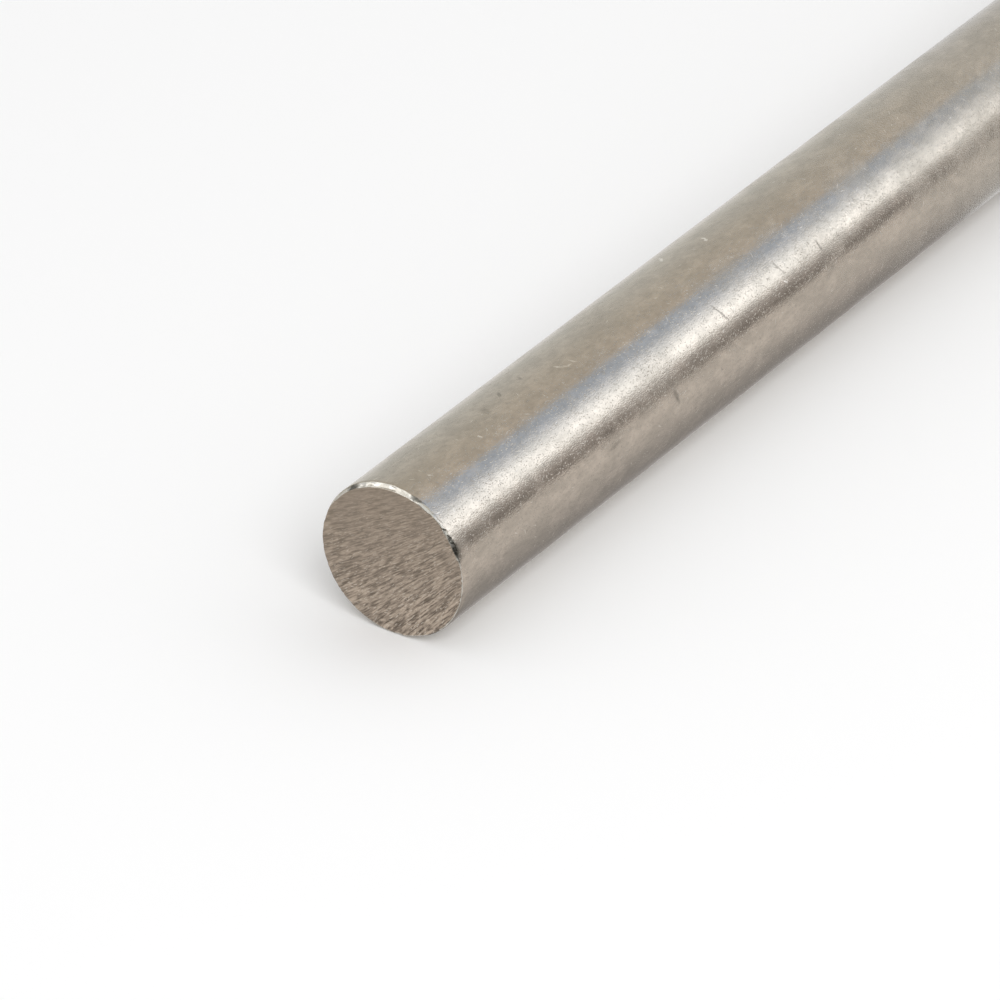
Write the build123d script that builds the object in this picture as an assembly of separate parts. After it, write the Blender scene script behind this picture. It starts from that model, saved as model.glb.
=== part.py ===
"""A length of solid round aluminium bar, drawn to size and sawn off square at both ends.

The bar stands on one sawn end, with its axis along Z. The origin is the centre of that
end, on the floor. Sizes are in millimetres.
"""

import os

from build123d import *

INCH = 25.4

# Driving dimensions
BAR_DIAMETER = INCH / 2
BAR_LENGTH = 12 * INCH
EDGE_BREAK = 0.3  # across the narrow rim where the saw's burr was taken off each end

# Worked out from them
BAR_RADIUS = BAR_DIAMETER / 2


def half_section():
    """The bar's lengthwise section on one side of its axis, with both outer corners cut off."""
    with BuildSketch(Plane.XZ) as section:
        Rectangle(BAR_RADIUS, BAR_LENGTH, align=(Align.MIN, Align.MIN))
        outer_corners = section.vertices().group_by(Axis.X)[-1]
        chamfer(outer_corners, length=EDGE_BREAK)
    return section.sketch


def round_bar():
    """The whole bar: the half section turned once about the axis."""
    return revolve(half_section(), axis=Axis.Z)


def main():
    os.makedirs("parts", exist_ok=True)
    export_step(round_bar(), "parts/round_bar.step")


main()
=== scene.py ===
"""A length of drawn round bar, sawn off at both ends, standing on one end against a pale board.

Geometry Nodes make the bar: two sawn ends with their blade marks, a broken edge round each,
and the drawn side between them. Lengths are in metres in the mesh and in millimetres in the
finishes. Bearings are in degrees, clockwise from +X as seen from above.
"""

import math

import bpy
from mathutils import Matrix, Vector


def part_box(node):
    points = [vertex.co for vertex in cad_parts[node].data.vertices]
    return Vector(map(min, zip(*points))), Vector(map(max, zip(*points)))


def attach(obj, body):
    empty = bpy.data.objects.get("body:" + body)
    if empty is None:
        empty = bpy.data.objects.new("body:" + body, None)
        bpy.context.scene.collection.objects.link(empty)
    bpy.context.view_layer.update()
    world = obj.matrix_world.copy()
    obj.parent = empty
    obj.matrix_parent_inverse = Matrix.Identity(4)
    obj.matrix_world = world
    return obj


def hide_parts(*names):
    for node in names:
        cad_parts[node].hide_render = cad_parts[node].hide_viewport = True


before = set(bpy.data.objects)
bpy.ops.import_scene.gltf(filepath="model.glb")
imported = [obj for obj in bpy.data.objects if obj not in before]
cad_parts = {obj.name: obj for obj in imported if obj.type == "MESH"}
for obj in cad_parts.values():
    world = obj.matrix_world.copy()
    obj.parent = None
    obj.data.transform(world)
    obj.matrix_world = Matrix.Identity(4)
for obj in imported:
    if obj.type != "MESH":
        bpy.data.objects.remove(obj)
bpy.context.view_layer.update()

MM = 0.001

# The bar, as packed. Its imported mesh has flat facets, so its box is narrower one way
bar_low, bar_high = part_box("round_bar")
LENGTH = bar_high.z - bar_low.z
RADIUS = min(bar_high.x, bar_high.y)
EDGE_BREAK = 0.3 * MM  # as wide as on the solid

# The mesh
QUARTER_STEPS = 168  # faces along a quarter of the rim
EDGE_ROWS = 6  # rows of faces round the broken edge
SIDE_ROWS = 20  # rows from there to the bar's middle
MERGE_WITHIN = 0.001 * MM  # where the two halves of the bar meet

# The broken edge
FACET_SIDE = Vector((0.14, -0.99, 0))  # towards where it is cut back to a flat facet
CHIP_SIDE = Vector((-0.875, -0.485, 0))  # towards a short chip in it
EDGE_WEAR = 0.07 * MM  # how far a deep nick goes in
NICK_SIZE = 0.9 * MM
EDGE_LEAN = 0.4  # where the side's finish gives way to the edge's, by edge_lean
END_LEAN = 2.5  # where the edge's finish gives way to the end's

# The saw marks: on both ends, the strokes fan out from one point beside the bar
STROKES_MEET = Vector((-21, -15.6, 0)) * MM
RIDGE_SPACING = 0.21 * MM
RIDGE_RUN = 1.5 * MM  # about how long a ridge is
RIDGE_DEPTH = 0.09 * MM
CRUMB_SIZE = 0.22 * MM  # of the crumbs between the ridges
BLADE_EXIT = Vector((-0.35, 0.94, 0))  # towards the side where the blade came out and tore more
SAW_SEED = 3.0
ENDS_APART = 9.0  # how far apart in the noise the two ends' patterns are

# The drawn side, uneven by this much in long low waves
UNEVENNESS = 0.008 * MM
WAVE_SIZE = Vector((6, 6, 26)) * MM

# The metal's colours
CLEAN_SIDE = (0.51, 0.464, 0.397, 1)
STAINED_SIDE = (0.446, 0.409, 0.35, 1)
MOTTLED_SIDE = (0.36, 0.332, 0.284, 1)
PITTED_SIDE = (0.26, 0.24, 0.205, 1)
DARK_SCUFF = (0.20, 0.17, 0.15, 1)
BRIGHT_SCUFF = (0.80, 0.77, 0.70, 1)
DARK_MARK = (0.08, 0.075, 0.06, 1)
BRIGHT_MARK = (0.88, 0.85, 0.78, 1)
# Painted shade: the sawn face's groove and ridge colours are darker than the side's for the shade in its
# rough cut, and darker still in the grooves. Towards the blade's exit the grooves are painted darker
# again and the ridges lighter: painted shade and painted light.
SHADED_GROOVE = (0.255, 0.21, 0.163, 1)
SHADED_EXIT_GROOVE = (0.115, 0.09, 0.07, 1)
RIDGE = (0.345, 0.28, 0.22, 1)
LIT_EXIT_RIDGE = (0.58, 0.475, 0.38, 1)
DARK_CHIP = (0.14, 0.11, 0.09, 1)
BRIGHT_CHIP = (0.80, 0.72, 0.62, 1)
DULL_END = (0.30, 0.25, 0.205, 1)
BRIGHT_EDGE = (0.61, 0.585, 0.54, 1)
DULL_EDGE = (0.46, 0.435, 0.385, 1)
DARK_RIM_MARK = (0.07, 0.065, 0.055, 1)

# Larger marks: (mm below the upper end, bearing, half its width in mm round the bar, half its
# height in mm, degrees that it leans, strength)
DARK_MARKS = (
    (0.15, 55, 0.8, 0.35, 0, 0.9),
    # Painted reflection: this mark darkens the rim beside the chip, where it mirrors the dark band
    (0.2, 153, 1.2, 0.45, 0, 0.82),
    (0.25, 110, 0.9, 0.16, 8, 0.8),
    (0.3, 129, 1.1, 0.07, 4, 0.45),
    (13.0, 86, 0.8, 0.5, -20, 0.2),
    (15.7, 81, 0.6, 0.2, -50, 0.4),
    (18.6, 80, 0.4, 0.2, -30, 0.3),
    (20.9, 165, 0.2, 1.1, 5, 0.3),
    (29.4, 164, 0.9, 0.34, 15, 0.45),
    (38.0, 136, 1.45, 0.18, 22, 0.5),
    (46.4, 136, 1.1, 0.18, 20, 0.4),
    (51.7, 140, 0.8, 0.2, 5, 0.45),
)
BRIGHT_MARKS = (
    (3.2, 101, 0.22, 0.14, 40, 0.6),
    (9.9, 101, 0.25, 0.15, 30, 0.55),
    (21.5, 94, 0.45, 0.11, 35, 0.5),
    (22.1, 98, 0.7, 0.11, 70, 0.4),
    (22.9, 97, 0.5, 0.1, 20, 0.45),
    (40.3, 67, 0.8, 0.16, -40, 0.7),
    (44.3, 81, 0.6, 0.17, -35, 0.7),
    (46.2, 146, 0.35, 0.2, 50, 0.8),
)

# The rings of tones that the metal reflects: (bearing, colour), changing evenly from one to the next
RING_RADIUS = 0.2
RING_STEP = 3  # degrees
RING_JOINT = 0.345  # the height where the upper ring begins
RING_TOP = 0.8
LOWER_TONES = (
    (-14, (0.84, 0.83, 0.80)),
    (2, (0.79, 0.79, 0.76)),
    (30, (0.81, 0.80, 0.77)),
    (58, (0.79, 0.75, 0.69)),
    (95, (0.84, 0.77, 0.70)),
    (97, (0.71, 0.82, 1.02)),
    (112, (0.76, 0.86, 1.05)),
    (118, (1.04, 1.12, 1.29)),
    (128, (1.63, 1.72, 1.89)),
    (137, (2.16, 2.24, 2.40)),
    (149, (2.22, 2.28, 2.42)),
    (153, (1.52, 1.53, 1.58)),
    (157, (0.92, 0.90, 0.92)),
    (164, (0.62, 0.58, 0.58)),
    (173, (0.37, 0.34, 0.33)),
    (179, (0.33, 0.30, 0.30)),
    (182, (0.94, 0.89, 0.87)),
    (208, (0.95, 0.90, 0.88)),
    (240, (0.60, 0.57, 0.56)),
    (262, (0.40, 0.38, 0.37)),
    (284, (0.36, 0.34, 0.33)),
    (300, (0.52, 0.50, 0.49)),
    (318, (0.70, 0.68, 0.66)),
    (330, (0.90, 0.88, 0.85)),
    (346, (0.84, 0.83, 0.80)),
)
UPPER_TONES = (
    (-14, (0.90, 0.90, 0.90)),
    (20, (0.90, 0.90, 0.90)),
    (30, (2.05, 2.05, 2.05)),
    (60, (2.05, 2.05, 2.05)),
    (92, (1.00, 1.02, 1.00)),
    (146, (1.00, 1.02, 1.00)),
    (150, (0.10, 0.10, 0.09)),
    (178, (0.10, 0.10, 0.09)),
    (183, (0.90, 0.90, 0.90)),
    (346, (0.90, 0.90, 0.90)),
)
CEILING_TONE = (0.30, 0.29, 0.28)
CEILING_HALF = 0.22
CEILING_HEIGHT = 0.7

# The floor, and the board that the bar stands against
FLOOR_SIDE = 12.0
BOARD_WIDTH = 0.9
BOARD_HEIGHT = 0.7
PAPER = (0.955, 0.955, 0.955, 1)
NEARLY_ON_EDGE = 0.95  # how far one-sided paper turns away before it is gone

# The light
WORLD_STRENGTH = 0.70
LAMP_WATTS = 4.0
LAMP_SIDE = 0.5
LAMP_SPOT = Vector((-0.55, -0.65, 0.75))
LAMP_AIM = Vector((0, 0, 0.6 * LENGTH))

# The view, which is centred a little beside and above the middle of the upper end
VIEW_TURN = math.radians(33.9)  # from straight down, towards +X
VIEW_TILT = math.radians(31.3)  # from there, towards the board
VIEW_DISTANCE = 0.583
VIEW_LENS_MM = 284
VIEW_SENSOR_MM = 36
AIM_ASIDE = 8.0 * MM
AIM_ABOVE = 4.5 * MM


class Nodes:
    """Short ways to add nodes to one tree. A value is a number, a tuple or another node's output."""

    def __init__(self, tree):
        self.tree = tree

    def add(self, kind, values=None, **settings):
        """A new node with these settings, and with these values in its inputs."""
        node = self.tree.nodes.new(kind)
        for name, setting in settings.items():
            setattr(node, name, setting)
        for socket, value in (values or {}).items():
            self.give(node.inputs[socket], value)
        return node

    def give(self, socket, value):
        if isinstance(value, bpy.types.NodeSocket):
            self.tree.links.new(value, socket)
        else:
            socket.default_value = value

    def maths(self, operation, *values, clamp=False):
        values = dict(enumerate(values))
        return self.add("ShaderNodeMath", values, operation=operation, use_clamp=clamp).outputs[0]

    def vector(self, operation, *values):
        values = dict(enumerate(values))
        node = self.add("ShaderNodeVectorMath", values, operation=operation)
        return node.outputs["Value" if operation in ("DOT_PRODUCT", "LENGTH") else "Vector"]

    def scale(self, vector, factor):
        values = {"Vector": vector, "Scale": factor}
        return self.add("ShaderNodeVectorMath", values, operation="SCALE").outputs["Vector"]

    def join(self, x, y, z):
        return self.add("ShaderNodeCombineXYZ", {"X": x, "Y": y, "Z": z}).outputs["Vector"]

    def split(self, vector):
        return self.add("ShaderNodeSeparateXYZ", {"Vector": vector}).outputs[:3]

    def product(self, first, *others):
        result = first
        for other in others:
            result = self.maths("MULTIPLY", result, other)
        return result

    def total(self, *weighted, base=0.0):
        """base and the sum of (value, weight) pairs."""
        result = base
        for value, weight in weighted:
            result = self.maths("MULTIPLY_ADD", value, weight, result)
        return result

    def pick(self, switch, off, on):
        """on where switch is true and off elsewhere, in Geometry Nodes."""
        values = {"Switch": switch, "False": off, "True": on}
        return self.add("GeometryNodeSwitch", values, input_type="FLOAT").outputs[0]

    def noise(self, vector, detail=2.0, roughness=0.55, distortion=0.0):
        values = {"Vector": vector, "Scale": 1.0, "Detail": detail, "Roughness": roughness,
                  "Distortion": distortion}
        return self.add("ShaderNodeTexNoise", values).outputs["Fac"]

    def fade(self, value, start, end):
        """1 on start's side of the two, 0 on end's side, and smooth between them."""
        values = {"Value": value, "From Min": start, "From Max": end, "To Min": 1.0, "To Max": 0.0}
        node = self.add("ShaderNodeMapRange", values, interpolation_type="SMOOTHSTEP")
        return node.outputs["Result"]

    def mix_colour(self, factor, first, second):
        """first where factor is 0, second where it is 1."""
        # A Mix node has sockets for every type. The colours go in at 6 and 7 and come out at 2
        node = self.add("ShaderNodeMix", {0: factor, 6: first, 7: second}, data_type="RGBA")
        return node.outputs[2]


def new_group(name, kind, inputs, outputs):
    """(group, its nodes, its given inputs, its results to fill) for a new node group.

    An input is (name, socket type, default or None), an output (name, socket type).
    """
    group = bpy.data.node_groups.new(name, kind)
    for title, socket_type, default in inputs:
        socket = group.interface.new_socket(title, in_out="INPUT", socket_type=socket_type)
        if default is not None:
            socket.default_value = default
    for title, socket_type in outputs:
        group.interface.new_socket(title, in_out="OUTPUT", socket_type=socket_type)
    nodes = Nodes(group)
    given = nodes.add("NodeGroupInput").outputs
    result = nodes.add("NodeGroupOutput").inputs
    return group, nodes, given, result


def place(nodes, group, values):
    """The outputs of a shader group, placed in a material with these inputs."""
    return nodes.add("ShaderNodeGroup", values, node_tree=group).outputs


def level(nodes, vector):
    """The part of a vector that is square to the bar's axis."""
    return nodes.vector("MULTIPLY", vector, (1, 1, 0))


def on_strokes(nodes, spot, meet, reach):
    """Where a spot lies, (across, along), on the fan of saw strokes.

    The strokes meet at a point that is reach away from the bar's axis.
    """
    offset = nodes.vector("SUBTRACT", spot, meet)
    x, y, _ = nodes.split(offset)
    across = nodes.maths("MULTIPLY", nodes.maths("ARCTAN2", y, x), reach)
    return across, nodes.vector("LENGTH", level(nodes, offset))


def new_object(name, data):
    made = bpy.data.objects.new(name, data)
    bpy.context.scene.collection.objects.link(made)
    return made


# ---------------------------------------------------------------- the bar's mesh


def position(nodes):
    """Where each spot of the mesh is."""
    return nodes.add("GeometryNodeInputPosition").outputs[0]


def outward(nodes):
    """The direction straight away from the bar's axis."""
    return nodes.vector("NORMALIZE", level(nodes, position(nodes)))


def end_disc(nodes, given):
    """A square grid pressed out into a disc as wide as the sawn face, at the bar's top."""
    count = nodes.maths("ADD", given["Quarter Steps"], 1)
    sizes = {"Size X": 2.0, "Size Y": 2.0, "Vertices X": count, "Vertices Y": count}
    grid = nodes.add("GeometryNodeMeshGrid", sizes)
    x, y, _ = nodes.split(position(nodes))
    # Each square about the centre becomes a circle, with its corners an eighth of a turn off an axis
    wide = nodes.maths("GREATER_THAN", nodes.maths("ABSOLUTE", x), nodes.maths("ABSOLUTE", y))
    eighth_turn = math.pi / 4
    near_x = nodes.maths("MULTIPLY", nodes.maths("DIVIDE", y, x), eighth_turn)
    near_y = nodes.maths("MULTIPLY_ADD", nodes.maths("DIVIDE", x, y), -eighth_turn, 2 * eighth_turn)
    turn = nodes.pick(wide, near_y, near_x)
    reach = nodes.pick(wide, y, x)
    flat_radius = nodes.maths("SUBTRACT", given["Radius"], given["Edge Break"])
    out = nodes.maths("MULTIPLY", reach, flat_radius)
    spot = nodes.join(nodes.maths("MULTIPLY", out, nodes.maths("COSINE", turn)),
                      nodes.maths("MULTIPLY", out, nodes.maths("SINE", turn)),
                      given["Length"])
    pressed = nodes.add("GeometryNodeSetPosition", {"Geometry": grid.outputs["Mesh"], "Position": spot})
    return pressed.outputs[0]


def grown_to_middle(nodes, given, disc):
    """The disc's rim, grown row by row round the broken edge and down to the bar's middle."""
    start = nodes.add("GeometryNodeRepeatInput")
    end = nodes.add("GeometryNodeRepeatOutput")
    start.pair_with_output(end)
    nodes.give(start.inputs["Iterations"], nodes.maths("ADD", given["Edge Rows"], given["Side Rows"]))
    nodes.give(start.inputs["Geometry"], disc)

    # The rim is where an edge has only one face
    faces = nodes.add("GeometryNodeInputMeshEdgeNeighbors").outputs["Face Count"]
    rim = nodes.maths("LESS_THAN", faces, 1.5)
    values = {"Mesh": start.outputs["Geometry"], "Selection": rim, "Offset Scale": 0.0}
    grown = nodes.add("GeometryNodeExtrudeMesh", values, mode="EDGES").outputs["Mesh"]
    radius, height = row_place(nodes, given, nodes.maths("ADD", start.outputs["Iteration"], 1))
    spot = nodes.vector("ADD", nodes.scale(outward(nodes), radius), nodes.join(0, 0, height))
    values = {"Geometry": grown, "Selection": rim, "Position": spot}
    nodes.give(end.inputs["Geometry"], nodes.add("GeometryNodeSetPosition", values).outputs[0])
    return end.outputs["Geometry"]


def row_place(nodes, given, row):
    """(radius, height) of a row, from 1 next to the sawn face to the last at the bar's middle."""
    # Round the edge, on a curve that edge_fullness makes flat, round or sharp
    share = nodes.maths("MINIMUM", nodes.maths("DIVIDE", row, given["Edge Rows"]), 1)
    turn = nodes.maths("MULTIPLY", share, math.pi / 2)
    fullness = edge_fullness(nodes, given)
    out = nodes.maths("POWER", nodes.maths("SINE", turn), fullness)
    up = nodes.maths("POWER", nodes.maths("MAXIMUM", nodes.maths("COSINE", turn), 0), fullness)
    flat_radius = nodes.maths("SUBTRACT", given["Radius"], given["Edge Break"])
    radius = nodes.maths("MULTIPLY_ADD", out, given["Edge Break"], flat_radius)
    shoulder = nodes.maths("SUBTRACT", given["Length"], given["Edge Break"])
    height = nodes.maths("MULTIPLY_ADD", up, given["Edge Break"], shoulder)

    # Down the side, in rows that grow longer
    side_row = nodes.maths("SUBTRACT", row, given["Edge Rows"])
    down = nodes.maths("MAXIMUM", nodes.maths("DIVIDE", side_row, given["Side Rows"]), 0)
    down = nodes.maths("POWER", down, 2)
    half = nodes.maths("SUBTRACT", nodes.maths("MULTIPLY", given["Length"], 0.5), given["Edge Break"])
    return radius, nodes.maths("SUBTRACT", height, nodes.maths("MULTIPLY", down, half))


def edge_fullness(nodes, given):
    """How much of the edge is gone: about 2 where it is a flat facet, 1 where round, 0 where sharp."""
    facet = facing(nodes, given["Facet Side"], narrowness=14)
    filed = facing(nodes, given["Facet Side"], narrowness=2)
    chip = facing(nodes, given["Chip Side"], narrowness=70)
    uneven = nodes.noise(nodes.scale(outward(nodes), 7.0))
    return nodes.total((facet, 0.75), (filed, 0.95), (chip, 0.9), (uneven, 0.8))


def facing(nodes, way, narrowness):
    """1 where the bar faces this way, falling to 0 on both sides of it."""
    toward = nodes.maths("MAXIMUM", nodes.vector("DOT_PRODUCT", outward(nodes), way), 0)
    return nodes.maths("POWER", toward, narrowness)


def edge_lean(nodes, given):
    """0 where the edge still faces sideways, 1 where it leans halfway, large where it faces the end.

    It is the slope of the curve in row_place.
    """
    share, _ = place_on_edge(nodes, given)
    radius = nodes.vector("LENGTH", level(nodes, position(nodes)))
    inset = nodes.maths("SUBTRACT", given["Radius"], radius)
    out = nodes.maths("SUBTRACT", 1, nodes.maths("DIVIDE", inset, given["Edge Break"]))
    ratio = nodes.maths("DIVIDE", share, nodes.maths("MAXIMUM", out, 0.01))
    bend = nodes.maths("SUBTRACT", nodes.maths("DIVIDE", 2, edge_fullness(nodes, given)), 1)
    lean = nodes.maths("POWER", ratio, nodes.maths("MAXIMUM", bend, 0))
    on_edge = nodes.maths("GREATER_THAN", share, 0)
    on_end = nodes.maths("LESS_THAN", out, 0)
    return nodes.total((on_end, 100), base=nodes.maths("MULTIPLY", lean, on_edge))


def with_other_half(nodes, given, half):
    """The half bar and its mirror image, joined at the middle."""
    lift = nodes.join(0, 0, given["Length"])
    values = {"Geometry": half, "Translation": lift, "Scale": (1, 1, -1)}
    mirrored = nodes.add("GeometryNodeTransform", values).outputs[0]
    flipped = nodes.add("GeometryNodeFlipFaces", {"Mesh": mirrored}).outputs[0]
    joined = nodes.add("GeometryNodeJoinGeometry")
    for part in (half, flipped):
        nodes.give(joined.inputs[0], part)
    values = {"Geometry": joined.outputs[0], "Distance": MERGE_WITHIN}
    return nodes.add("GeometryNodeMergeByDistance", values).outputs[0]


def place_on_edge(nodes, given):
    """(share, end): 0 on the side to 1 level with an end, and +1 for the upper end, -1 for the lower."""
    _, _, z = nodes.split(position(nodes))
    half = nodes.maths("MULTIPLY", given["Length"], 0.5)
    from_middle = nodes.maths("SUBTRACT", z, half)
    short = nodes.maths("SUBTRACT", half, nodes.maths("ABSOLUTE", from_middle))
    share = nodes.maths("SUBTRACT", 1, nodes.maths("DIVIDE", short, given["Edge Break"]), clamp=True)
    return share, nodes.maths("SIGN", from_middle)


def saw_depth(nodes, given, end):
    """How deep the saw has cut at each spot of an end, from 0 to about 1."""
    reach = nodes.vector("LENGTH", given["Strokes Meet"])
    across, along = on_strokes(nodes, position(nodes), given["Strokes Meet"], reach)
    layer = nodes.maths("MULTIPLY_ADD", end, ENDS_APART, given["Seed"])

    def ridges(spacing, run):
        wide = nodes.maths("MULTIPLY", given["Ridge Spacing"], spacing)
        long = nodes.maths("MULTIPLY", given["Ridge Run"], run)
        spot = nodes.join(nodes.maths("DIVIDE", across, wide), nodes.maths("DIVIDE", along, long), layer)
        return nodes.noise(spot, detail=1.0, distortion=0.5)

    crumbs = nodes.noise(nodes.scale(position(nodes), 1 / CRUMB_SIZE), detail=1.0)
    return nodes.total((ridges(1.0, 1.0), 0.5), (ridges(0.6, 0.5), 0.4), (crumbs, 0.1))


def worn(nodes, given, bar):
    """The bar with its saw marks cut, its edges worn and its side a little uneven, all inwards."""
    share, end = place_on_edge(nodes, given)
    off_edge = nodes.maths("SUBTRACT", 1, share)

    depth = saw_depth(nodes, given, end)
    values = {"Geometry": bar, "Name": "saw_depth", "Value": depth}
    named = nodes.add("GeometryNodeStoreNamedAttribute", values, data_type="FLOAT", domain="POINT")
    # The saw cut four times as deep where it came out as where it went in
    toward_exit = nodes.vector("DOT_PRODUCT", position(nodes), given["Blade Exit"])
    toward_exit = nodes.maths("MULTIPLY_ADD", nodes.maths("DIVIDE", toward_exit, given["Radius"]), 0.45, 0.75)
    cut = nodes.join(0, 0, nodes.product(depth, given["Ridge Depth"], share, toward_exit, end, -1))

    # Most nicks are shallow and a few are deep
    middle_of_edge = nodes.product(share, off_edge, 4)
    nicks = nodes.noise(nodes.scale(position(nodes), 1 / NICK_SIZE), detail=1.5)
    nicks = nodes.maths("POWER", nodes.maths("MULTIPLY", nicks, 1.6), 3)
    corner = nodes.vector("NORMALIZE", nodes.vector("ADD", outward(nodes), nodes.join(0, 0, end)))
    wear = nodes.scale(corner, nodes.product(nicks, middle_of_edge, given["Edge Wear"], -1))

    waves = nodes.noise(nodes.vector("DIVIDE", position(nodes), WAVE_SIZE))
    sink = nodes.scale(outward(nodes), nodes.product(waves, off_edge, given["Unevenness"], -1))

    offset = nodes.vector("ADD", nodes.vector("ADD", cut, wear), sink)
    values = {"Geometry": named.outputs[0], "Offset": offset}
    return nodes.add("GeometryNodeSetPosition", values).outputs[0]


def finished(nodes, given, bar):
    """Each face gets its finish: sawn, broken edge or drawn side, by the way that it leans."""
    lean = edge_lean(nodes, given)
    edge = nodes.maths("GREATER_THAN", lean, EDGE_LEAN)
    end = nodes.maths("GREATER_THAN", lean, END_LEAN)
    smooth = nodes.add("GeometryNodeSetShadeSmooth", {"Geometry": bar}).outputs[0]
    result = nodes.add("GeometryNodeRealizeInstances", {"Geometry": smooth}).outputs[0]
    for choice, finish in ((True, "Side Finish"), (edge, "Edge Finish"), (end, "End Finish")):
        values = {"Geometry": result, "Selection": choice, "Material": given[finish]}
        result = nodes.add("GeometryNodeSetMaterial", values).outputs[0]
    return result


def bar_tree():
    """The Geometry Nodes tree that makes the whole bar."""
    inputs = [
        ("Radius", "NodeSocketFloat", 0.005),
        ("Length", "NodeSocketFloat", 0.1),
        ("Quarter Steps", "NodeSocketInt", 40),
        ("Edge Rows", "NodeSocketInt", 4),
        ("Side Rows", "NodeSocketInt", 20),
        ("Edge Break", "NodeSocketFloat", 0.0003),
        ("Facet Side", "NodeSocketVector", (1.0, 0.0, 0.0)),
        ("Chip Side", "NodeSocketVector", (0.0, 1.0, 0.0)),
        ("Edge Wear", "NodeSocketFloat", 0.0),
        ("Strokes Meet", "NodeSocketVector", (-0.02, -0.02, 0.0)),
        ("Ridge Spacing", "NodeSocketFloat", 0.0004),
        ("Ridge Run", "NodeSocketFloat", 0.002),
        ("Ridge Depth", "NodeSocketFloat", 0.0001),
        ("Blade Exit", "NodeSocketVector", (0.0, 1.0, 0.0)),
        ("Seed", "NodeSocketFloat", 0.0),
        ("Unevenness", "NodeSocketFloat", 0.0),
        ("Side Finish", "NodeSocketMaterial", None),
        ("Edge Finish", "NodeSocketMaterial", None),
        ("End Finish", "NodeSocketMaterial", None),
    ]
    outputs = [("Bar", "NodeSocketGeometry")]
    group, nodes, given, result = new_group("sawn_bar", "GeometryNodeTree", inputs, outputs)
    half = grown_to_middle(nodes, given, end_disc(nodes, given))
    bar = with_other_half(nodes, given, half)
    nodes.give(result["Bar"], finished(nodes, given, worn(nodes, given, bar)))
    return group


def made_by(tree, name, values):
    """A plain mesh object made by a Geometry Nodes tree with these inputs."""
    maker = new_object(name + "_maker", bpy.data.meshes.new(name + "_start"))
    modifier = maker.modifiers.new(name, "NODES")
    modifier.node_group = tree
    for item in tree.interface.items_tree:
        if item.in_out == "INPUT":
            modifier[item.identifier] = values[item.name]
    graph = bpy.context.evaluated_depsgraph_get()
    mesh = bpy.data.meshes.new_from_object(maker.evaluated_get(graph), depsgraph=graph)
    bpy.data.objects.remove(maker)
    return new_object(name, mesh)


# ---------------------------------------------------------------- the finishes


def grain_group():
    """Fine pits and bumps of one size."""
    inputs = [
        ("Position", "NodeSocketVector", None),
        ("Size", "NodeSocketFloat", 0.2),
        ("Detail", "NodeSocketFloat", 2.0),
    ]
    outputs = [("Height", "NodeSocketFloat")]
    group, nodes, given, result = new_group("grain", "ShaderNodeTree", inputs, outputs)
    spot = nodes.scale(given["Position"], nodes.maths("DIVIDE", 1, given["Size"]))
    nodes.give(result["Height"], nodes.noise(spot, detail=given["Detail"]))
    return group


def lines_group():
    """Fine lines that run along the third axis of Position."""
    inputs = [
        ("Position", "NodeSocketVector", None),
        ("Width", "NodeSocketFloat", 0.1),
        ("Length", "NodeSocketFloat", 10.0),
    ]
    outputs = [("Height", "NodeSocketFloat")]
    group, nodes, given, result = new_group("lines", "ShaderNodeTree", inputs, outputs)
    size = nodes.join(given["Width"], given["Width"], given["Length"])
    nodes.give(result["Height"], nodes.noise(nodes.vector("DIVIDE", given["Position"], size)))
    return group


def scratches_group():
    """Short marks, one in each cell of a random pattern, and a random tone for each.

    They lie Along. Scatter 1 leans them every way, 0 not at all.
    """
    inputs = [
        ("Position", "NodeSocketVector", None),
        ("Along", "NodeSocketVector", None),
        ("Across", "NodeSocketVector", None),
        ("Spacing", "NodeSocketFloat", 1.0),
        ("Length", "NodeSocketFloat", 1.0),
        ("Width", "NodeSocketFloat", 0.1),
        ("Share", "NodeSocketFloat", 0.5),
        ("Scatter", "NodeSocketFloat", 1.0),
    ]
    outputs = [("Mark", "NodeSocketFloat"), ("Tone", "NodeSocketFloat")]
    group, nodes, given, result = new_group("scratches", "ShaderNodeTree", inputs, outputs)
    # A slow bend in the pattern curves the marks a little
    bent = nodes.add("ShaderNodeTexNoise", {"Vector": given["Position"], "Scale": 0.7, "Detail": 1.0})
    spot = nodes.vector("ADD", given["Position"], nodes.scale(bent.outputs["Color"], 0.6))
    spot = nodes.vector("DIVIDE", spot, nodes.join(*[given["Spacing"]] * 3))
    cell = nodes.add("ShaderNodeTexVoronoi", {"Vector": spot, "Scale": 1.0}).outputs
    offset = nodes.scale(nodes.vector("SUBTRACT", spot, cell["Position"]), given["Spacing"])
    lean, size, chance = nodes.split(cell["Color"])
    lean = nodes.product(nodes.maths("SUBTRACT", lean, 0.5), math.pi, given["Scatter"])
    up = nodes.vector("DOT_PRODUCT", offset, given["Along"])
    over = nodes.vector("DOT_PRODUCT", offset, given["Across"])
    lengthwise, sideways = turned(nodes, up, over, lean)
    half = nodes.maths("MULTIPLY", given["Length"], nodes.maths("MULTIPLY_ADD", size, 0.35, 0.15))
    ends = nodes.fade(nodes.maths("ABSOLUTE", lengthwise), 0.0, half)
    half = nodes.maths("MULTIPLY", given["Width"], 0.5)
    flanks = nodes.fade(nodes.maths("ABSOLUTE", sideways), 0.0, half)
    there = nodes.maths("LESS_THAN", chance, given["Share"])
    nodes.give(result["Mark"], nodes.product(ends, flanks, there))
    nodes.give(result["Tone"], size)
    return group


def turned(nodes, first, second, lean):
    """A place's two measures, taken again on axes that lean from the first towards the second."""
    cosine = nodes.maths("COSINE", lean)
    sine = nodes.maths("SINE", lean)
    along = nodes.total((first, cosine), (second, sine))
    aside = nodes.maths("SUBTRACT", nodes.maths("MULTIPLY", second, cosine),
                        nodes.maths("MULTIPLY", first, sine))
    return along, aside


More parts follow.
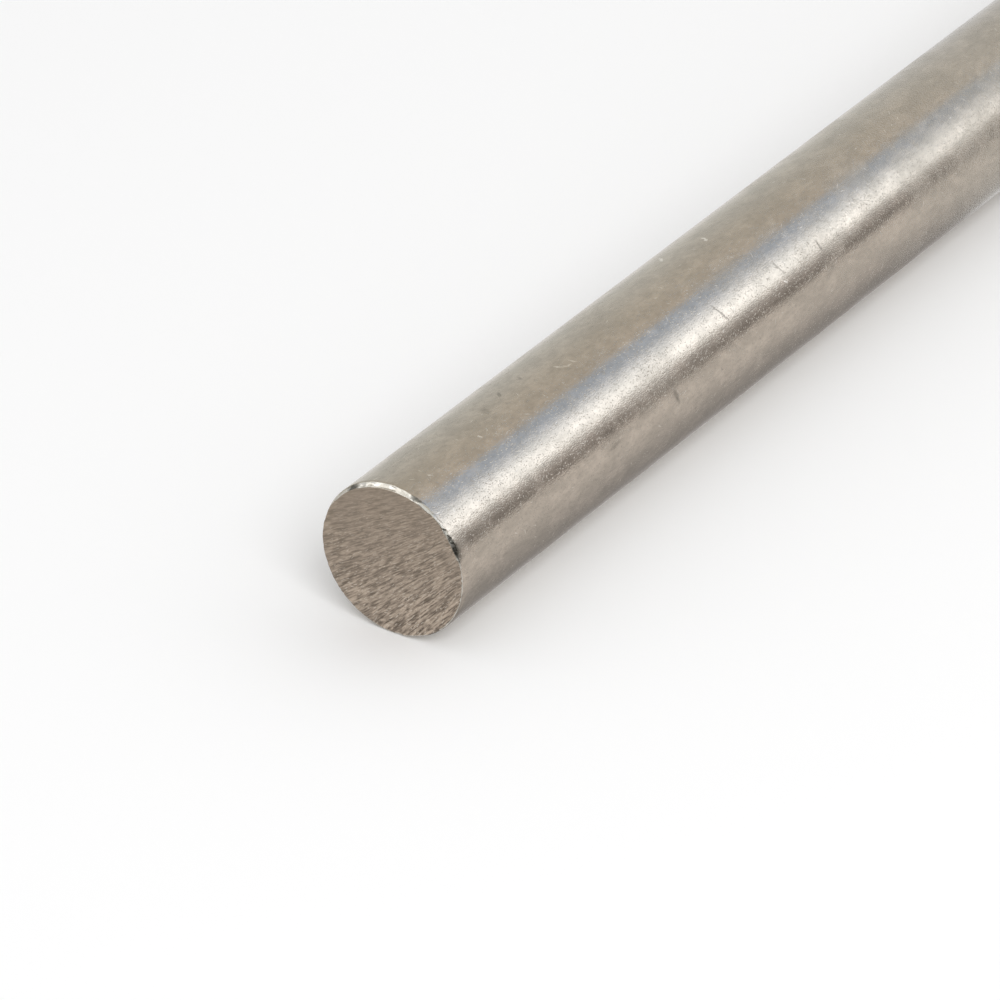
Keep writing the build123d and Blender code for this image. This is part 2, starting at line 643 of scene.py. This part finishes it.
def ding_group():
    """One oval mark that fades out towards its rim."""
    inputs = [
        ("Position", "NodeSocketVector", None),
        ("Across", "NodeSocketVector", None),
        ("Centre", "NodeSocketVector", None),
        ("Half Width", "NodeSocketFloat", 1.0),
        ("Half Height", "NodeSocketFloat", 0.2),
        ("Lean", "NodeSocketFloat", 0.0),
    ]
    outputs = [("Mark", "NodeSocketFloat")]
    group, nodes, given, result = new_group("ding", "ShaderNodeTree", inputs, outputs)
    offset = nodes.vector("SUBTRACT", given["Position"], given["Centre"])
    over = nodes.vector("DOT_PRODUCT", offset, given["Across"])
    _, _, up = nodes.split(offset)
    around, along = turned(nodes, over, up, given["Lean"])
    around = nodes.maths("DIVIDE", around, given["Half Width"])
    along = nodes.maths("DIVIDE", along, given["Half Height"])
    reach = nodes.vector("LENGTH", nodes.join(around, along, 0))
    nodes.give(result["Mark"], nodes.fade(reach, 0.3, 1.0))
    return group


def ragged_group():
    """Position, wavering a little from spot to spot, so that what is drawn with it has ragged rims."""
    inputs = [
        ("Position", "NodeSocketVector", None),
        ("Size", "NodeSocketFloat", 0.3),
        ("Amount", "NodeSocketFloat", 0.5),
    ]
    outputs = [("Position", "NodeSocketVector")]
    group, nodes, given, result = new_group("ragged", "ShaderNodeTree", inputs, outputs)
    scale = nodes.maths("DIVIDE", 1, given["Size"])
    values = {"Vector": given["Position"], "Scale": scale, "Detail": 3.0}
    cloud = nodes.add("ShaderNodeTexNoise", values).outputs["Color"]
    sway = nodes.scale(nodes.vector("SUBTRACT", cloud, (0.5, 0.5, 0.5)), given["Amount"])
    nodes.give(result["Position"], nodes.vector("ADD", given["Position"], sway))
    return group


def patches_group():
    """Soft patches from 0 to 1, as handling and old film leave."""
    inputs = [("Position", "NodeSocketVector", None), ("Size", "NodeSocketFloat", 3.0)]
    outputs = [("Patch", "NodeSocketFloat")]
    group, nodes, given, result = new_group("patches", "ShaderNodeTree", inputs, outputs)
    spot = nodes.scale(given["Position"], nodes.maths("DIVIDE", 1, given["Size"]))
    cloud = nodes.noise(spot, detail=3.0, roughness=0.6, distortion=0.4)
    nodes.give(result["Patch"], nodes.fade(cloud, 0.62, 0.38))
    return group


GRAIN = grain_group()
LINES = lines_group()
SCRATCHES = scratches_group()
DING = ding_group()
RAGGED = ragged_group()
PATCHES = patches_group()


def new_material(name):
    """(material, its nodes, its shader, position in millimetres) for bare metal."""
    material = bpy.data.materials.new(name)
    material.use_nodes = True
    nodes = Nodes(material.node_tree)
    shader = material.node_tree.nodes["Principled BSDF"]
    shader.inputs["Metallic"].default_value = 1.0
    spot = nodes.add("ShaderNodeTexCoord").outputs["Object"]
    return material, nodes, shader, nodes.scale(spot, 1 / MM)


def give_finish(nodes, shader, colour, roughness, height):
    """The shader gets this colour and roughness, and a relief of this height in millimetres."""
    nodes.give(shader.inputs["Base Color"], colour)
    nodes.give(shader.inputs["Roughness"], roughness)
    bump = nodes.add("ShaderNodeBump", {"Strength": 1.0, "Distance": MM, "Height": height})
    nodes.give(shader.inputs["Normal"], bump.outputs["Normal"])


def round_the_bar(nodes, spot):
    """The level direction that runs round the bar at each spot."""
    return nodes.vector("NORMALIZE", nodes.vector("CROSS_PRODUCT", (0, 0, 1), spot))


def marked(nodes, spot, marks):
    """How strongly one of these larger marks shows at each spot, from 0 to 1."""
    across = round_the_bar(nodes, spot)
    spot = place(nodes, RAGGED, {"Position": spot, "Size": 0.33, "Amount": 0.5})["Position"]
    mark = 0.0
    for below, bearing, half_width, half_height, lean, strength in marks:
        turn = math.radians(bearing)
        centre = Vector((RADIUS * math.cos(turn), -RADIUS * math.sin(turn), LENGTH)) / MM
        values = {
            "Position": spot,
            "Across": across,
            "Centre": centre - Vector((0, 0, below)),
            "Half Width": half_width,
            "Half Height": half_height,
            "Lean": math.radians(lean),
        }
        one = nodes.maths("MULTIPLY", place(nodes, DING, values)["Mark"], strength)
        mark = nodes.maths("MAXIMUM", mark, one)
    return mark


def drawn_side():
    """The side: satin, frosted in patches, with fine grain, short scuffs and a few larger marks."""
    material, nodes, shader, spot = new_material("drawn_side")
    drawn_out = nodes.vector("MULTIPLY", spot, (1.0, 1.0, 0.55))
    fine = place(nodes, GRAIN, {"Position": drawn_out, "Size": 0.1, "Detail": 1.0})["Height"]
    coarse = place(nodes, GRAIN, {"Position": drawn_out, "Size": 0.3, "Detail": 1.0})["Height"]
    lines = place(nodes, LINES, {"Position": spot, "Width": 0.09, "Length": 2.5})["Height"]
    upright = {"Position": spot, "Along": (0.0, 0.0, 1.0), "Across": round_the_bar(nodes, spot)}
    sizes = {"Spacing": 0.25, "Length": 0.34, "Width": 0.062, "Share": 0.5, "Scatter": 0.8}
    flecks = place(nodes, SCRATCHES, {**upright, **sizes})["Mark"]
    sizes = {"Spacing": 1.3, "Length": 0.7, "Width": 0.12, "Share": 0.3}
    scuffs, scuff_tone = place(nodes, SCRATCHES, {**upright, **sizes})[:2]
    frosted = place(nodes, PATCHES, {"Position": spot, "Size": 5.0})["Patch"]
    frosted = nodes.maths("POWER", frosted, 2)
    mottle = place(nodes, PATCHES, {"Position": drawn_out, "Size": 0.75})["Patch"]
    stain = place(nodes, PATCHES, {"Position": drawn_out, "Size": 1.7})["Patch"]
    pits = nodes.fade(coarse, 0.3, 0.55)
    dark = marked(nodes, spot, DARK_MARKS)
    bright = marked(nodes, spot, BRIGHT_MARKS)

    colour = nodes.mix_colour(stain, CLEAN_SIDE, STAINED_SIDE)
    colour = nodes.mix_colour(nodes.maths("MULTIPLY", mottle, 0.38), colour, MOTTLED_SIDE)
    colour = nodes.mix_colour(nodes.maths("MULTIPLY", pits, 0.2), colour, PITTED_SIDE)
    light = nodes.maths("GREATER_THAN", scuff_tone, 0.45)
    scuff_colour = nodes.mix_colour(light, DARK_SCUFF, BRIGHT_SCUFF)
    colour = nodes.mix_colour(nodes.maths("MULTIPLY", scuffs, 0.55), colour, scuff_colour)
    colour = nodes.mix_colour(dark, colour, DARK_MARK)
    colour = nodes.mix_colour(bright, colour, BRIGHT_MARK)

    marks = nodes.maths("ADD", dark, bright)
    roughness = nodes.total((fine, 0.06), (frosted, 0.11), (scuffs, 0.12), (marks, 0.15), base=0.10)
    rubbed = nodes.maths("MULTIPLY_ADD", frosted, 0.6, 0.85)
    grain = nodes.total((fine, 0.0098), (coarse, 0.0028), (flecks, 0.0115))
    height = nodes.total((grain, rubbed), (lines, 0.0034), (scuffs, -0.005))
    give_finish(nodes, shader, colour, roughness, height)
    return material


def sawn_end():
    """The ends: sawn metal, duller in the grooves, with painted shade that darkens them and the grooves
    most, and painted light on the ridges towards the blade's exit.
    """
    material, nodes, shader, spot = new_material("sawn_end")
    depth = nodes.add("ShaderNodeAttribute", attribute_name="saw_depth").outputs["Fac"]
    fine = place(nodes, GRAIN, {"Position": spot, "Size": 0.12, "Detail": 3.0})["Height"]
    patch = place(nodes, PATCHES, {"Position": spot, "Size": 1.6})["Patch"]

    # The strokes, as in the mesh
    meet = STROKES_MEET / MM
    across, along = on_strokes(nodes, spot, meet, meet.length)
    _, _, z = nodes.split(spot)
    values = {"Position": nodes.join(across, z, along), "Width": 0.1, "Length": 1.2}
    lines = place(nodes, LINES, values)["Height"]
    stroke = nodes.vector("NORMALIZE", level(nodes, nodes.vector("SUBTRACT", spot, meet)))
    square = nodes.vector("CROSS_PRODUCT", (0, 0, 1), stroke)
    values = {"Position": spot, "Along": stroke, "Across": square}
    sizes = {"Spacing": 0.3, "Length": 0.8, "Width": 0.1, "Share": 0.6, "Scatter": 0.15}
    chips, chip_tone = place(nodes, SCRATCHES, {**values, **sizes})[:2]
    ridge = nodes.fade(nodes.total((depth, 0.6), (lines, 0.4)), 0.62, 0.38)
    toward_exit = nodes.vector("DOT_PRODUCT", spot, BLADE_EXIT)
    toward_exit = nodes.maths("MULTIPLY_ADD", toward_exit, 0.5 * MM / RADIUS, 0.5, clamp=True)

    # Painted shade in the grooves and painted light on the ridges, both stronger towards the blade's
    # exit
    groove_shade_colour = nodes.mix_colour(toward_exit, SHADED_GROOVE, SHADED_EXIT_GROOVE)
    ridge_colour = nodes.mix_colour(toward_exit, RIDGE, LIT_EXIT_RIDGE)
    colour = nodes.mix_colour(ridge, groove_shade_colour, ridge_colour)
    light = nodes.maths("GREATER_THAN", chip_tone, 0.5)
    chip_colour = nodes.mix_colour(light, DARK_CHIP, BRIGHT_CHIP)
    strength = nodes.maths("MULTIPLY", chips, nodes.maths("MULTIPLY_ADD", toward_exit, 0.65, 0.05))
    colour = nodes.mix_colour(strength, colour, chip_colour)
    colour = nodes.mix_colour(nodes.maths("MULTIPLY", patch, 0.2), colour, DULL_END)

    roughness = nodes.total((fine, 0.1), (lines, 0.15), (ridge, -0.06), (patch, 0.05), base=0.25)
    relief = nodes.total((lines, 0.032), (fine, 0.008), (chips, 0.016))
    height = nodes.maths("MULTIPLY", relief, nodes.maths("MULTIPLY_ADD", toward_exit, 1.2, 0.2))
    give_finish(nodes, shader, colour, roughness, height)
    return material


def broken_edge():
    """The rims: brighter metal, smoothed by a file, with a few dark marks; the one beside the chip is a
    painted reflection of the dark band.
    """
    material, nodes, shader, spot = new_material("broken_edge")
    fine = place(nodes, GRAIN, {"Position": spot, "Size": 0.15, "Detail": 3.0})["Height"]
    patch = place(nodes, PATCHES, {"Position": spot, "Size": 0.8})["Patch"]
    colour = nodes.mix_colour(patch, BRIGHT_EDGE, DULL_EDGE)
    # Dark marks on the rim; beside the chip this is a painted reflection of the dark band
    colour = nodes.mix_colour(marked(nodes, spot, DARK_MARKS), colour, DARK_RIM_MARK)
    roughness = nodes.total((fine, 0.2), (patch, 0.08), base=0.1)
    height = nodes.total((fine, 0.005), (patch, 0.004))
    give_finish(nodes, shader, colour, roughness, height)
    return material


# ---------------------------------------------------------------- the studio


def flat_object(name, corners, faces, material):
    """A sheet of the studio, which is no part of the bar."""
    mesh = bpy.data.meshes.new(name)
    mesh.from_pydata(corners, [], faces)
    mesh.materials.append(material)
    made = new_object(name, mesh)
    return made


def paper(name, one_sided):
    """Plain matt paper. One-sided paper isn't there when it is seen from behind or on edge."""
    material = bpy.data.materials.new(name)
    material.use_nodes = True
    nodes = Nodes(material.node_tree)
    shader = material.node_tree.nodes["Principled BSDF"]
    nodes.give(shader.inputs["Base Color"], PAPER)
    nodes.give(shader.inputs["Roughness"], 0.9)
    nodes.give(shader.inputs["Specular IOR Level"], 0.1)
    if one_sided:
        behind = nodes.add("ShaderNodeNewGeometry").outputs["Backfacing"]
        slant = nodes.add("ShaderNodeLayerWeight", {"Blend": 0.5}).outputs["Facing"]
        gone = nodes.maths("MAXIMUM", behind, nodes.maths("GREATER_THAN", slant, NEARLY_ON_EDGE))
        clear = nodes.add("ShaderNodeBsdfTransparent").outputs[0]
        mixed = nodes.add("ShaderNodeMixShader", {0: gone, 1: shader.outputs[0], 2: clear})
        nodes.give(material.node_tree.nodes["Material Output"].inputs["Surface"], mixed.outputs[0])
    return material


def floor_and_board():
    """The board is only a backdrop: it lights and shades nothing, and nothing mirrors it."""
    side = FLOOR_SIDE / 2
    corners = [(-side, -side, 0), (side, -side, 0), (side, side, 0), (-side, side, 0)]
    flat_object("floor", corners, [(0, 1, 2, 3)], paper("floor_paper", one_sided=False))
    half, touch, top = BOARD_WIDTH / 2, bar_high.x, BOARD_HEIGHT
    corners = [(-half, touch, 0), (half, touch, 0), (half, touch, top), (-half, touch, top)]
    board = flat_object("board", corners, [(0, 1, 2, 3)], paper("board_paper", one_sided=True))
    board.visible_glossy = False
    board.visible_diffuse = False
    board.visible_shadow = False


def glow_only_in_metal(name, corners, faces, colours):
    """A glowing sheet, with a colour at each corner, that shows nowhere but in reflections."""
    material = bpy.data.materials.new(name)
    material.use_nodes = True
    nodes = Nodes(material.node_tree)
    tone = nodes.add("ShaderNodeAttribute", attribute_name="tone").outputs["Color"]
    glow = nodes.add("ShaderNodeEmission", {"Color": tone, "Strength": 1.0})
    nodes.give(material.node_tree.nodes["Material Output"].inputs["Surface"], glow.outputs[0])
    material.cycles.emission_sampling = "NONE"
    made = flat_object(name, corners, faces, material)
    tones = made.data.attributes.new("tone", "FLOAT_COLOR", "POINT")
    for i, colour in enumerate(colours):
        tones.data[i].color = (*colour, 1)
    made.visible_camera = False
    made.visible_diffuse = False
    made.visible_shadow = False


def ring(name, low, high, tones):
    """An upright sheet right round the bar that goes through these tones."""
    corners, colours = [], []
    for (start, first), (end, last) in zip(tones, tones[1:]):
        count = max(1, round((end - start) / RING_STEP))
        for i in range(count + 1):
            bearing = math.radians(start + (end - start) * i / count)
            x, y = RING_RADIUS * math.cos(bearing), -RING_RADIUS * math.sin(bearing)
            corners += [(x, y, low), (x, y, high)]
            colours += [Vector(first).lerp(last, i / count)] * 2
    faces = [(i, i + 1, i + 3, i + 2) for i in range(0, len(corners) - 2, 2)]
    glow_only_in_metal(name, corners, faces, colours)


def reflected_studio():
    """What the metal reflects: two rings, one on the other, and a dim ceiling over the front."""
    ring("lower_ring", 0, RING_JOINT, LOWER_TONES)
    ring("upper_ring", RING_JOINT, RING_TOP, UPPER_TONES)
    half, top = CEILING_HALF, CEILING_HEIGHT
    corners = [(-half, -half, top), (half, -half, top), (half, 0, top), (-half, 0, top)]
    glow_only_in_metal("ceiling", corners, [(0, 1, 2, 3)], [CEILING_TONE] * 4)


def light():
    """A pale world that is white where it is seen, and one large soft lamp behind the view."""
    world = bpy.data.worlds.new("studio")
    bpy.context.scene.world = world
    world.use_nodes = True
    nodes = Nodes(world.node_tree)
    path = nodes.add("ShaderNodeLightPath").outputs
    seen = nodes.maths("MAXIMUM", path["Is Camera Ray"], path["Is Glossy Ray"])
    seen = nodes.maths("MAXIMUM", seen, path["Is Transmission Ray"])
    strength = nodes.maths("MULTIPLY_ADD", seen, 1 - WORLD_STRENGTH, WORLD_STRENGTH)
    background = world.node_tree.nodes["Background"]
    nodes.give(background.inputs["Color"], (1, 1, 1, 1))
    nodes.give(background.inputs["Strength"], strength)

    lamp = bpy.data.lights.new("soft_lamp", "AREA")
    lamp.size = LAMP_SIDE
    lamp.energy = LAMP_WATTS
    holder = new_object("soft_lamp", lamp)
    holder.location = LAMP_SPOT
    holder.rotation_euler = (LAMP_AIM - LAMP_SPOT).to_track_quat("-Z", "Y").to_euler()
    holder.visible_glossy = False


def view():
    """A long lens that looks down on the upper end, with the bar running away to the upper right."""
    forward = Vector((math.sin(VIEW_TURN), math.tan(VIEW_TILT), -math.cos(VIEW_TURN))).normalized()
    right = Vector((-math.cos(VIEW_TURN), 0, -math.sin(VIEW_TURN)))
    up = right.cross(forward)
    lens = bpy.data.cameras.new("view")
    lens.sensor_width = VIEW_SENSOR_MM
    lens.lens = VIEW_LENS_MM
    lens.clip_start = 0.01
    camera = new_object("view", lens)
    aim = Vector((0, 0, LENGTH)) + right * AIM_ASIDE + up * AIM_ABOVE
    turn = Matrix((right, up, -forward)).transposed().to_4x4()
    camera.matrix_world = Matrix.Translation(aim - forward * VIEW_DISTANCE) @ turn
    bpy.context.scene.camera = camera


view()
floor_and_board()
reflected_studio()
light()

bar = made_by(bar_tree(), "drawn_bar", {
    "Radius": RADIUS,
    "Length": LENGTH,
    "Quarter Steps": QUARTER_STEPS,
    "Edge Rows": EDGE_ROWS,
    "Side Rows": SIDE_ROWS,
    "Edge Break": EDGE_BREAK,
    "Facet Side": FACET_SIDE,
    "Chip Side": CHIP_SIDE,
    "Edge Wear": EDGE_WEAR,
    "Strokes Meet": STROKES_MEET,
    "Ridge Spacing": RIDGE_SPACING,
    "Ridge Run": RIDGE_RUN,
    "Ridge Depth": RIDGE_DEPTH,
    "Blade Exit": BLADE_EXIT,
    "Seed": SAW_SEED,
    "Unevenness": UNEVENNESS,
    "Side Finish": drawn_side(),
    "Edge Finish": broken_edge(),
    "End Finish": sawn_end(),
})
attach(bar, "root")
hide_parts("round_bar")

bpy.context.scene.view_settings.view_transform = "Standard"
